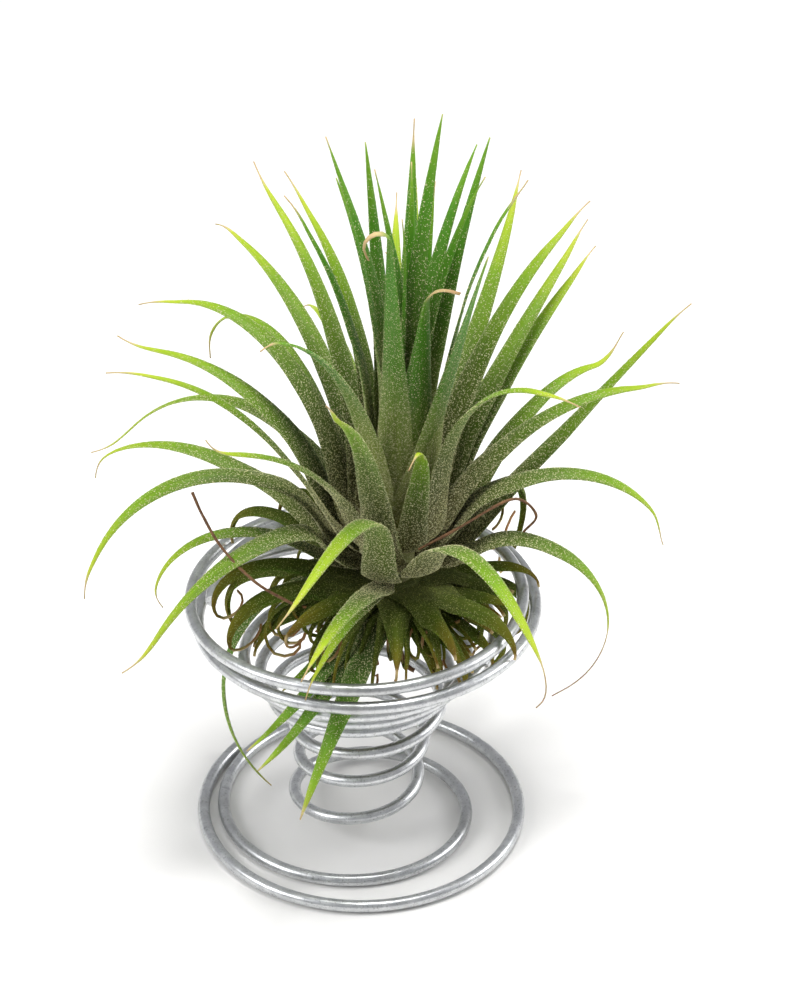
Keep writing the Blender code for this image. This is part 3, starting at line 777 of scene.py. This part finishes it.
# %% The table of living leaves
# Name, tier, azimuth, sideways swing, lean at the base, lean at the tip, length and width in mm, how
# late it bends, turn of the dry tip, and tone from 0, young, to 1, old
SPREADING_LEAVES = (
    ("a01", 0, 170, -5, 0, 40, 59, 6.5, 1.4, -10, 0.2),
    ("a02", 0, 227, 13, 4, 67, 64, 6.5, 1.1, 0, 0.3),
    ("a04", 0, 95, 0, 2, 30, 64, 6.0, 1.2, 0, 0.3),
    ("a05", 0, 334, 40, 1, 28, 66, 7.0, 2.6, 10, 0.2),
    ("a07", 2, 44, 3, 13, 74, 61, 6.5, 1.6, -20, 0.4),
    ("a08", 2, 133, 6, 2, 60, 61, 6.0, 1.5, -15, 0.5),
    ("a09", 3, 13, 2, 25, 105, 51, 7.0, 1.3, -30, 0.4),
    ("a10", 2, 321, -3, 0, 102, 54, 7.0, 1.8, -20, 0.3),
    ("a11", 3, 89, 5, 10, 60, 62, 5.0, 1.2, 0, 0.7),
    ("a03", 3, 284, -36, 6, 58, 35, 6.2, 1.7, 50, 0.2),
    ("a12", 4, 58, 22, 15, 54, 63, 6.0, 0.8, 0, 0.6),
    ("a13", 4, 130, -3, 12, 74, 65, 6.0, 1.4, -12, 0.6),
    ("a14", 4, 225, 2, 17, 73, 56, 7.0, 0.7, -20, 0.3),
    ("a16", 4, 0, 4, 30, 161, 51, 7.0, 1.1, 20, 0.5),
    ("a17", 5, 148, 5, 19, 138, 63, 7.0, 1.7, -30, 0.5),
    ("a18", 5, 199, -1, 30, 86, 62, 6.5, 2.1, -10, 0.5),
    ("a19", 5, 95, -5, 22, 80, 60, 6.0, 1.2, 0, 0.7),
    ("a06", 5, 254, -4, 23, 62, 69, 7.0, 1.6, -30, 0.2),
    ("a20", 6, 51, 12, 24, 71, 63, 6.0, 0.8, -15, 0.7),
    ("a21", 6, 125, -3, 18, 101, 68, 6.0, 0.9, -10, 0.7),
    ("a22", 8, 36, 3, 33, 128, 52, 6.5, 2.1, -110, 0.5),
    ("a23", 7, 137, 6, 24, 193, 60, 5.5, 2.4, -10, 0.7),
    ("a24", 7, 187, 21, 27, 175, 65, 7.0, 0.9, -10, 0.5),
    ("a26", 7, 92, 5, 28, 100, 58, 6.0, 1.2, 0, 0.7),
    ("a27", 7, 51, 10, 30, 78, 62, 6.0, 0.9, -10, 0.6),
    ("a15", 7, 289, 20, 31, 152, 65, 7.0, 1.1, 45, 0.5),
    ("a28", 8, 152, 6, 25, 110, 58, 7.0, 1.0, -15, 0.6),
    ("a29", 8, 205, 0, 31, 158, 54, 6.5, 0.4, -20, 0.8),
    ("a31", 8, 108, 0, 35, 120, 58, 6.0, 1.1, 0, 0.7),
    ("a30", 8, 257, -18, 13, 121, 65, 6.5, 0.8, -10, 0.9),
    ("a25", 8, 350, 10, 48, 229, 59, 6.5, 0.8, 5, 0.5),
    ("a32", 9, 21, 0, 40, 45, 61, 6.0, 1.2, 0, 0.5),
    ("a33", 9, 133, 24, 40, 157, 76, 5.0, 0.7, -20, 0.8),
    ("a34", 9, 164, -13, 52, 146, 57, 6.5, 1.3, 5, 0.7),
    ("a35", 9, 195, 2, 56, 187, 46, 5.0, 1.5, 0, 0.7),
    ("a36", 9, 256, -3, 60, 91, 56, 5.2, 1.3, 0, 0.9),
    ("a37", 9, 72, -5, 48, 140, 54, 6.0, 1.1, 0, 0.7),
    ("a38", 10, 251, -12, 80, 135, 33, 3.8, 1.5, 0, 0.9),
)
print("living leaves in the table:", len(SPREADING_LEAVES))

# %% Grow the spreading leaves
TIER_TOP = 6.0 * MM
TIER_DROP = 1.0 * MM
TIER_RADIUS = 5.5 * MM
TIER_SPREAD = 1.15 * MM
SHEATH_TO_WIDTH = 0.7
MOST_SHEATH_ANGLE = 0.5
LAST_CROWN_TIER = 1
HEEL_LEAN = 80
THREAD = 2.0 * MM
MOST_THREAD_TURN = 35
# Leaves whose tip has dried to a long thread, with the share of their length where it starts
LONG_THREADS = {"a15": 0.9, "a25": 0.76}
LEAF_SEED = 100


def tier_leaf(row, seed):
    """A living leaf's blade. Its tier sets where it leaves the stem and where it turns up."""
    name, tier, azimuth, swing, base_lean, tip_lean, length, width, bend, tip_turn, _ = row
    draw = np.random.default_rng(seed)
    radius = TIER_RADIUS + TIER_SPREAD * tier
    start = (STEM_RADIUS + GAP + BLADE_THICKNESS / 2, TIER_TOP - TIER_DROP * tier)
    heeled = ease(np.linspace(0, 1, PATH_STEPS))
    level = np.sin(np.radians(HEEL_LEAN + (base_lean - HEEL_LEAN) * heeled)).mean()
    heel = (radius - start[0]) / level
    points, ahead, along, heading = leaf_midrib(
        start, heel, HEEL_LEAN, azimuth, swing, base_lean, tip_lean, length * MM, bend, tip_turn,
        THREAD, draw.uniform(-MOST_THREAD_TURN, MOST_THREAD_TURN),
    )
    path = (points, ahead, along / LONG_THREADS.get(name, 1.0), heading)
    sheath = min(SHEATH_TO_WIDTH * width * MM / radius, MOST_SHEATH_ANGLE)
    return blade(path, radius, width * MM, sheath, wave=0.05, seed=seed)


for number, row in enumerate(SPREADING_LEAVES):
    name, tier, *_, tone = row
    if tier > LAST_CROWN_TIER:
        show_leaves(
            "blade_" + name, "leaf_" + name, "living_leaf", [tier_leaf(row, LEAF_SEED + number)], [tone],
            spreading_finish, per_mm2=8.5, seed=500 + number, everywhere=0.05, at_edge=0.5,
        )

# %% [markdown]
# ## The crown
# The youngest leaves stand upright in a tight tuft and hide the short stem that carries them. The dry
# tips of the two front ones have turned right over, one to each side. The four innermost tier leaves
# stand for the same solid as the tuft. They are a second piece here, which keeps each piece light.

# %% Grow the crown
# Azimuth, swing, lean at the base and the tip, length and width in mm, bend, turn of the dry tip
CROWN_LEAVES = (
    (70, -1, -10, 21, 76, 6.6, 1.7, 0), (45, 0, 0, 19, 70, 6.6, 1.1, 0),
    (58, -1, -8, 39, 69, 6.0, 1.5, 0), (32, 0, -6, 25, 64, 6.6, 1.5, 7),
    (80, 5, 0, 25, 58, 4.8, 1.1, -8), (99, 1, -2, 22, 62, 5.4, 1.3, 5),
    (200, 0, -5, 6, 58, 4.8, 1.3, 4), (130, 0, 4, 17, 67, 6.6, 1.0, 0),
    (148, 0, -6, 25, 64, 6.0, 1.6, -5), (152, 0, -2, 33, 69, 7.2, 1.3, -7),
    (175, 0, 0, 23, 66, 7.8, 1.3, 0), (236, -40, 3, 7, 66, 9.4, 1.2, 200),
    (290, 50, 3, -3, 52, 11.5, 1.2, 95), (318, 20, 6, 14, 58, 9.0, 1.3, 0),
)
CROWN_START = (1.2 * MM, 4.0 * MM)
CROWN_HEEL = 5.0 * MM
CROWN_HEEL_LEAN = 60
CROWN_RADIUS = 3.0 * MM
CROWN_SHEATH = 1.3
CROWN_THICKNESS = 0.75 * MM
CROWN_THREAD = 1.5 * MM
CROWN_DRY_FROM = 0.98
CURLED_OVER = 90
CURLED_DRY_FROM = 0.9
CURLED_HALF_WIDTH = 0.4 * MM
STEM_TONE, INNER_TONE = 0.5, 0.6
STEM_SIDES = 24
STEM_PROFILE = ((1.9, -12.0), (3.2, -10.0), (3.2, 6.0), (1.6, 9.0))


def turned_rings(profile, sides):
    """Corners, faces and stored values of a turned shape with closed ends, from its profile in mm."""
    corners = []
    for radius, height in profile:
        for k in range(sides):
            a = 2 * math.pi * k / sides
            corners.append(placed(Vector((radius * math.cos(a), radius * math.sin(a), height)) * MM))
    return corners, tube_faces(len(profile), sides), [(0.0, 0.0)] * len(corners)


crown_blades, crown_tones, crown_dry = [turned_rings(STEM_PROFILE, STEM_SIDES)], [STEM_TONE], [DRY_FROM]
for number, (azimuth, swing, base_lean, tip_lean, length, width, bend, turn) in enumerate(CROWN_LEAVES):
    curled = abs(turn) > CURLED_OVER
    path = leaf_midrib(
        CROWN_START, CROWN_HEEL, CROWN_HEEL_LEAN, azimuth, swing, base_lean, tip_lean, length * MM,
        bend, turn, CROWN_THREAD if turn else 0.0,
    )
    crown_blades.append(blade(
        path, CROWN_RADIUS, width * MM, CROWN_SHEATH, CROWN_THICKNESS, wave=0.03, seed=number,
        tip=CURLED_HALF_WIDTH if curled else THREAD_HALF_WIDTH,
    ))
    crown_tones.append(0.25 + 0.5 * (number % 3) / 2)
    crown_dry.append(CURLED_DRY_FROM if curled else CROWN_DRY_FROM)
show_leaves(
    "crown_tuft", "crown", "living_leaf", crown_blades, crown_tones, crown_finish, crown_dry,
    per_mm2=7.0, seed=71, at_edge=0.35,
)
inner_blades = [
    tier_leaf(row, LEAF_SEED + number)
    for number, row in enumerate(SPREADING_LEAVES) if row[1] <= LAST_CROWN_TIER
]
show_leaves(
    "inner_leaves", "crown", "living_leaf", inner_blades, [INNER_TONE] * len(inner_blades), crown_finish,
    per_mm2=8.5, seed=72, at_edge=0.35,
)

# %% [markdown]
# ## Old leaves
# Under the living leaves hangs a skirt of old ones, olive and brown, with dull scales. As they dried
# they rolled in along their length, curled back and wound in at their ends, and thin wisps lie between
# them. All follow the leaf's rule, with leans past the level, rolled edges and a turning thread, and
# stop just short of the wire they rest on. Five greener ones hang out, each its own piece.

# %% Finishes of the old leaves
withered_finish = leaf_finish(
    "withered leaf olive",
    (
        (0.0, 84, 92, 46), (0.25, 60, 72, 18), (0.55, 62, 76, 8), (0.8, 98, 94, 20),
        (1.0, 112, 78, 34),
    ),
    colour(166, 170, 110), (0.5, 0.14, 0.4), roughness=0.62, late=0.8, gloss=0.08,
)
hanging_finish = leaf_finish(
    "hanging leaf green",
    (
        (0.0, 70, 78, 34), (0.3, 56, 90, 16), (0.6, 84, 132, 16), (0.85, 130, 166, 36),
        (1.0, 170, 176, 70),
    ),
    SILVER, (0.4, 0.08, 0.4), late=0.6,
)
print("old leaf finishes:", withered_finish.name, "and", hanging_finish.name)

# %% Tables of the withered and the hanging leaves
# Height on the stem in mm, azimuth, swing, lean at the base and the tip, length and width in mm, bend
WITHERED_LEAVES = (
    (-5.6, 350, 25, 72, 274, 31, 5.5, 1.2), (-7.0, 15, -25, 88, 270, 33, 5.0, 2.0),
    (-8.0, 342, 20, 92, 285, 27, 5.0, 2.0), (-7.0, 50, 20, 64, 296, 57, 4.0, 2.0),
    (-6.5, 44, 12, 52, 200, 31, 3.5, 2.0), (-5.8, 208, 6, 74, 228, 35, 7.5, 2.6),
    (-5.8, 272, 0, 84, 140, 20, 7.5, 1.8), (-5.6, 226, -5, 78, 140, 22, 8.0, 2.0),
    (-5.6, 296, -8, 78, 225, 27, 8.0, 2.8), (-6.0, 318, 8, 72, 255, 31, 8.0, 2.6),
    (-5.8, 65, 10, 72, 250, 36, 5.5, 2.2), (-6.0, 98, -10, 74, 240, 36, 5.5, 2.2),
    (-5.8, 128, 12, 70, 250, 38, 6.0, 2.2), (-6.0, 152, -10, 70, 240, 38, 6.0, 2.4),
    (-8.8, 98, -10, 100, 215, 28, 5.5, 1.8), (-8.6, 145, 10, 98, 225, 31, 5.5, 2.0),
    (-8.8, 178, 0, 104, 195, 28, 5.5, 1.6), (-9.0, 298, 5, 104, 195, 18, 5.5, 1.8),
    (-9.0, 20, 0, 104, 215, 22, 5.0, 1.8), (-5.8, 302, 4, 90, 170, 20, 4.5, 2.2),
    (-7.6, 308, -8, 92, 215, 22, 6.0, 2.6), (-8.6, 318, 8, 100, 215, 20, 5.5, 2.2),
    (-8.8, 335, -8, 98, 220, 21, 5.5, 2.4), (-6.0, 339, -6, 80, 235, 28, 6.0, 2.6),
    (-6.0, 4, 8, 72, 255, 29, 5.0, 2.4), (-7.4, 34, -8, 80, 250, 32, 5.5, 2.2),
    (-8.8, 184, 10, 104, 228, 32, 5.0, 1.7), (-5.7, 188, 12, 72, 240, 36, 5.5, 2.4),
    (-8.1, 163, -4, 90, 250, 38, 5.0, 2.2), (-7.6, 88, 10, 86, 260, 34, 5.0, 2.2),
)
HANGING_LEAVES = (
    ("h01", -10.2, 217, 1, 125, 104, 33, 4.5, 2.0),
    ("h02", -7.8, 235, -14, 118, 112, 34, 4.5, 1.1),
    ("h03", -9.0, 239, -12, 122, 110, 35, 5.0, 1.0),
    ("h04", -6.6, 254, -14, 109, 150, 42, 6.0, 2.0),
    ("h05", -7.0, 180, 14, 77, 223, 62, 4.0, 0.6),
)
print("withered and hanging leaves:", len(WITHERED_LEAVES), len(HANGING_LEAVES))

# %% Grow the withered and the hanging leaves
COLLAR_RADIUS = 5.0 * MM
COLLAR_PROFILE = ((3.6, -4.9), (5.0, -5.2), (5.0, -11.2), (3.6, -11.4))
COLLAR_SIDES = 32
COLLAR_TONE = 0.6
WITHERED_START = STEM_RADIUS + GAP + BLADE_THICKNESS
OLD_LEAF_HEEL = 4.0 * MM
OLD_LEAF_RADIUS = 8.0 * MM
TIP_HALF_WIDTH = 0.4 * MM
CURL_HALF_WIDTH = 0.3 * MM
CONE_FOOT_RADIUS, CONE_FOOT_HEIGHT = 9 * MM, 22 * MM
CONE_SLOPE = 0.65
WISPS = 72
# What a wisp's values are drawn from: lean, height in mm, shift and swing in degrees, how far it bends
# over, length and width in mm, bend, curl of its end and tone
WISP_RANGES = (
    (74, 100), (-8.0, -5.4), (-8, 8), (-30, 30), (110, 260), (17, 30), (1.4, 3.2), (1.2, 2.4),
    (20, 90), (0.5, 1.0),
)


def from_stand(points):
    """Points of the plant's own frame, counted from the stand's middle."""
    return points @ np.array(lean_matrix).T + np.array(PLANT_FOOT)


def up_to_wire(path, inside):
    """The part of a path before it comes to the wire, with its own shares of its length. What has to
    stay inside the cone also ends where it would slip out between two turns."""
    points = from_stand(path[0])
    away = np.linalg.norm(points[:, None] - wire_path[None], axis=2).min(axis=1)
    ends = away < WIRE_RADIUS + TIP_HALF_WIDTH + GAP
    if inside:
        above = np.maximum(points[:, 2] - CONE_FOOT_HEIGHT, 0)
        ends |= np.hypot(points[:, 0], points[:, 1]) > CONE_FOOT_RADIUS + CONE_SLOPE * above
    near = np.nonzero(ends)[0]
    count = near[0] if len(near) else len(away)
    points, ahead, along, heading = (values[:count] for values in path)
    return points, ahead, along / min(along[-1], 1.0), heading


def old_leaf(row, roll, seed, start_radius=WITHERED_START, thread_share=0.0, thread_turn=0.0,
             tip=CURL_HALF_WIDTH, steps=36, inside=False):
    """An old leaf's blade, rolled in along its edges. Its thread is a share of its length."""
    height, azimuth, swing, base_lean, tip_lean, length, width, bend = row
    path = leaf_midrib(
        (start_radius, height * MM), OLD_LEAF_HEEL, base_lean, azimuth, swing, base_lean, tip_lean,
        length * MM, bend, 0, thread_share * length * MM, thread_turn,
    )
    sheath = SHEATH_TO_WIDTH * width * MM / OLD_LEAF_RADIUS
    return blade(up_to_wire(path, inside), OLD_LEAF_RADIUS, width * MM, sheath, steps=steps, roll=roll,
                 wave=0.12, seed=seed, tip=tip)


old_blades, old_tones = [turned_rings(COLLAR_PROFILE, COLLAR_SIDES)], [COLLAR_TONE]
draw = np.random.default_rng(8)
for number, row in enumerate(WITHERED_LEAVES):
    share, curl = draw.uniform(0.15, 0.35), draw.uniform(50, 95)
    old_blades.append(old_leaf(
        row, roll=0.6, seed=300 + number, thread_share=share, thread_turn=curl
    ))
    old_tones.append(0.1 + 0.9 * ((number * 7) % 10) / 9)
for number in range(WISPS):
    lean, height, shift, swing, over, length, width, bend, curl, tone = (
        draw.uniform(*limits) for limits in WISP_RANGES
    )
    row = (height, number * 360 / WISPS + shift, swing, lean, lean + over, length, width, bend)
    old_blades.append(old_leaf(
        row, roll=0.9, seed=350 + number, thread_share=0.25, thread_turn=curl, steps=20, inside=True
    ))
    old_tones.append(tone)
show_leaves(
    "withered_skirt", "withered_leaves", "withered_leaf", old_blades, old_tones,
    withered_finish, per_mm2=2.4, seed=17, base_power=1.4, everywhere=0.12,
    scale_finish=old_scale_finish,
)
for number, (name, *row) in enumerate(HANGING_LEAVES):
    start = COLLAR_RADIUS + GAP
    own = old_leaf(row, roll=0.1, seed=400 + number, start_radius=start, tip=THREAD_HALF_WIDTH)
    show_leaves(
        "hanging_" + name, "hanging_leaf_" + name, "living_leaf", [own], [0.2 + 0.15 * number],
        hanging_finish, per_mm2=8.0, seed=40 + number, base_power=1.6, everywhere=0.08,
    )

# %% [markdown]
# ## Dry roots
# An air plant's roots only hold it in place. Here they are a few short, brown, woody threads under the
# stem, hidden inside the cone. They are swept like the wire, but with many small bends.

# %% Finish and shape of the roots
# Azimuth, lean at the base and the tip, and length in mm
ROOTS = (
    (20, 150, 120, 11), (75, 165, 200, 9), (130, 155, 130, 10),
    (185, 160, 190, 11), (240, 150, 200, 9), (300, 158, 125, 10),
)
ROOT_TOP = -12.3
ROOT_CROWN = ((1.9, ROOT_TOP), (2.3, ROOT_TOP - 0.8), (2.4, ROOT_TOP - 1.6))
ROOT_START = (2.4 * 0.6 * MM, (ROOT_TOP - 0.8) * MM)
ROOT_HEEL = 2 * MM
ROOT_SWING = 30
ROOT_RADIUS = 0.42 * MM
ROOT_SIDES = 8
ROOT_RIPPLE = 0.25 * MM
KINKS = (7, 9, 11)
KINK_SIZE = 0.35 * MM
KEEP_EVERY = 6


def fill(mesh, pieces):
    """Puts several meshes into one."""
    bm = bmesh.new()
    for piece in pieces:
        bm.from_mesh(piece)
    bm.to_mesh(mesh)
    bm.free()
    mesh.shade_smooth()


root_finish, tree, shader = new_material("dry root brown", Roughness=0.85)
grain = noise(tree, own_place(tree), scale=1400, roughness=0.6)
grained = tuned(tree, grain, gain=2.0, shift=-0.5, clamp=True)
wood = mixed(tree, grained, colour(70, 44, 28), colour(132, 96, 62))
feed_named(tree, shader, Base_Color=wood)
bumped(tree, shader, grain, strength=0.8, distance=0.1 * MM)

root_mesh = leaf_mesh("root_crown", [turned_rings(ROOT_CROWN, STEM_SIDES)], [0.5], root_finish)
roots = []
for number, (azimuth, base_lean, tip_lean, length) in enumerate(ROOTS):
    points, _, along, _ = leaf_midrib(
        ROOT_START, ROOT_HEEL, base_lean, azimuth, ROOT_SWING, base_lean, tip_lean, length * MM, 1, 0
    )
    draw = np.random.default_rng(60 + number)
    kinks = np.stack([np.sin(along * k + draw.uniform(0, 6)) for k in KINKS], axis=1)
    points = (points + kinks * along[:, None] * KINK_SIZE)[::KEEP_EVERY]
    points = from_stand(points) + STAND
    roots.append(swept("root", points, ROOT_RADIUS, ROOT_SIDES, ROOT_RIPPLE, root_finish))
fill(root_mesh, [root_mesh, *roots])
show("root_threads", root_mesh, "dry_roots")
print("roots:", len(ROOTS))

# %% [markdown]
# ## Dry threads between the leaves
# Two thin brown threads stand out between the leaves, one to each side. They are what is left of old
# leaves, so they go with the skirt. A curve through a few points of each is swept as a root is, which
# needs no new tree.

# %% Shape of the dry threads
# Points of each thread's line in mm from the stand's middle
THREADS = (
    ((9.1, -12.0, 62.8), (15.2, -10.0, 65.4), (22.9, -6.0, 68.0), (26.2, -4.0, 66.9),
     (28.4, -3.0, 63.2), (26.4, -3.0, 60.2)),
    ((-10.7, -16.0, 54.6), (-17.0, -15.0, 58.4), (-22.4, -12.0, 63.0), (-25.6, -9.0, 67.4),
     (-27.2, -8.0, 71.2)),
)
THREAD_RADIUS = 0.23 * MM
THREAD_SIDES = 6
THREAD_STEPS = 8

threads = []
for knots in THREADS:
    knots = np.array(knots) * MM + STAND
    ends = np.concatenate((2 * knots[:1] - knots[1:2], knots, 2 * knots[-1:] - knots[-2:-1]))
    points = []
    for a, b, c, d in zip(ends, ends[1:], ends[2:], ends[3:]):
        for t in np.linspace(0, 1, THREAD_STEPS, endpoint=False):
            points.append(b + t * (c - a) / 2 + t**2 * (a - 2.5 * b + 2 * c - d / 2)
                          + t**3 * (1.5 * (b - c) + (d - a) / 2))
    points.append(knots[-1])
    threads.append(swept("thread", points, THREAD_RADIUS, THREAD_SIDES, ROOT_RIPPLE, root_finish))
thread_mesh = bpy.data.meshes.new("dry_threads")
fill(thread_mesh, threads)
thread_mesh.materials.append(root_finish)
show("dry_threads", thread_mesh, "withered_leaves")
print("threads:", len(THREADS))
